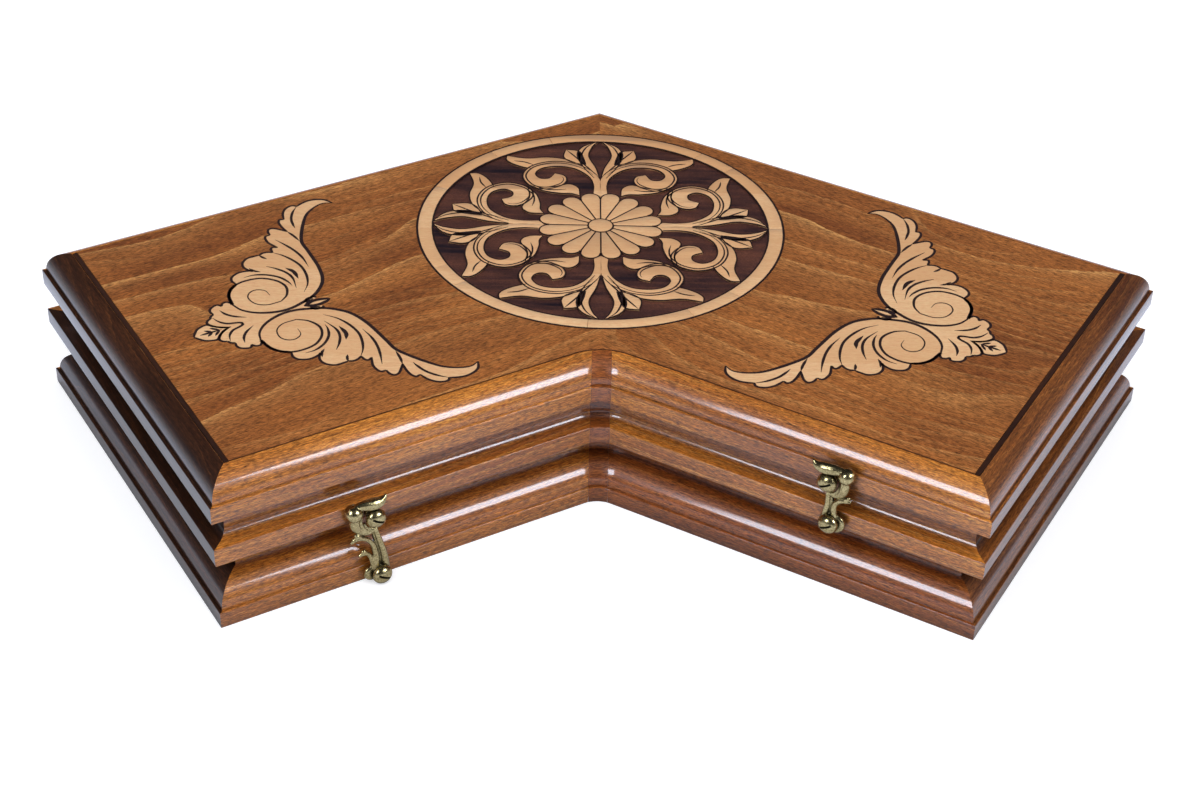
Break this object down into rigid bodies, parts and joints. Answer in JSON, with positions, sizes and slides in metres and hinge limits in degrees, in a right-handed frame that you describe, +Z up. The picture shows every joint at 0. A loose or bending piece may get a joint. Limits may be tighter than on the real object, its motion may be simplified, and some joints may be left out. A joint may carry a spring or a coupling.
{
  "type": "backgammon board",
  "caption": "Folding wooden backgammon board of stacked chevron trays with moulded frames, rear hinges, hook latches and an inlaid lid, shown closed.",
  "frame": {"origin": "on the floor under the middle of the closed board's plan", "axes": "+X along the widest line between the arm ends, +Y from the open notch to the apex, +Z up"},
  "size_m": [0.6414, 0.4008, 0.0934],
  "materials": {
    "panel_walnut": "amber brown wood with long wavy grain, gloss lacquer",
    "moulding_walnut": "golden brown hardwood moulding, high gloss lacquer",
    "end_grain_walnut": "very dark brown hardwood moulding, high gloss lacquer",
    "maple_inlay": "pale maple inlay, gloss lacquer",
    "dark_inlay": "reddish black wood, satin lacquer",
    "antique_brass": "cast antique brass, bright on the high spots and dark in the hollows"
  },
  "bodies": {
    "top_tray": {"arm_inlay_left": "maple_inlay", "arm_inlay_right": "maple_inlay", "medallion_ground": "dark_inlay", "medallion_ring": "maple_inlay", "right_keeper": "antique_brass", "rosette_flower": "maple_inlay", "rosette_scrolls": "maple_inlay", "top_end_rail_left": "end_grain_walnut", "top_end_rail_right": "end_grain_walnut", "top_hinge_leaves": "antique_brass", "top_hinge_pins": "antique_brass", "top_hinge_screws": "antique_brass", "top_inner_rail_left": "moulding_walnut", "top_inner_rail_right": "moulding_walnut", "top_outer_rail_left": "moulding_walnut", "top_outer_rail_right": "moulding_walnut", "top_panel_left": "panel_walnut", "top_panel_right": "panel_walnut", "top_points_dark": "dark_inlay", "top_points_light": "maple_inlay"},
    "bottom_tray": {"bottom_end_rail_left": "end_grain_walnut", "bottom_end_rail_right": "end_grain_walnut", "bottom_hinge_leaves": "antique_brass", "bottom_hinge_pins": "antique_brass", "bottom_hinge_screws": "antique_brass", "bottom_inner_rail_left": "moulding_walnut", "bottom_inner_rail_right": "moulding_walnut", "bottom_outer_rail_left": "moulding_walnut", "bottom_outer_rail_right": "moulding_walnut", "bottom_panel_left": "panel_walnut", "bottom_panel_right": "panel_walnut", "bottom_points_dark": "dark_inlay", "bottom_points_light": "maple_inlay", "left_hook_boss": "antique_brass", "left_hook_screw": "antique_brass"},
    "left_hook": {"left_hook": "antique_brass"},
    "middle_tray": {"left_keeper": "antique_brass", "middle_end_rail_left": "end_grain_walnut", "middle_end_rail_right": "end_grain_walnut", "middle_hinge_leaves_left": "antique_brass", "middle_hinge_leaves_right": "antique_brass", "middle_hinge_screws_left": "antique_brass", "middle_hinge_screws_right": "antique_brass", "middle_inner_rail_left": "moulding_walnut", "middle_inner_rail_right": "moulding_walnut", "middle_outer_rail_left": "moulding_walnut", "middle_outer_rail_right": "moulding_walnut", "middle_panel_left": "panel_walnut", "middle_panel_right": "panel_walnut", "middle_points_dark": "dark_inlay", "middle_points_light": "maple_inlay", "right_hook_boss": "antique_brass", "right_hook_screw": "antique_brass"},
    "right_hook": {"right_hook": "antique_brass"}
  },
  "joints": [
    {"name": "top_tray_hinge", "type": "hinge", "parent": "middle_tray", "child": "top_tray", "pos_m": [0.12575, 0.13043, 0.0623], "axis": [-0.866, 0.5, 0], "range_deg": [0, 180]},
    {"name": "bottom_tray_hinge", "type": "hinge", "parent": "middle_tray", "child": "bottom_tray", "pos_m": [-0.12575, 0.13043, 0.0311], "axis": [0.866, 0.5, 0], "range_deg": [0, 180]},
    {"name": "right_hook_pivot", "type": "hinge", "parent": "middle_tray", "child": "right_hook", "pos_m": [0.12254, -0.15812, 0.047], "axis": [0.5, 0.866, 0], "range_deg": [0, 100]},
    {"name": "left_hook_pivot", "type": "hinge", "parent": "bottom_tray", "child": "left_hook", "pos_m": [-0.11865, -0.15587, 0.0057], "axis": [0.5, -0.866, 0], "range_deg": [0, 75]}
  ]
}
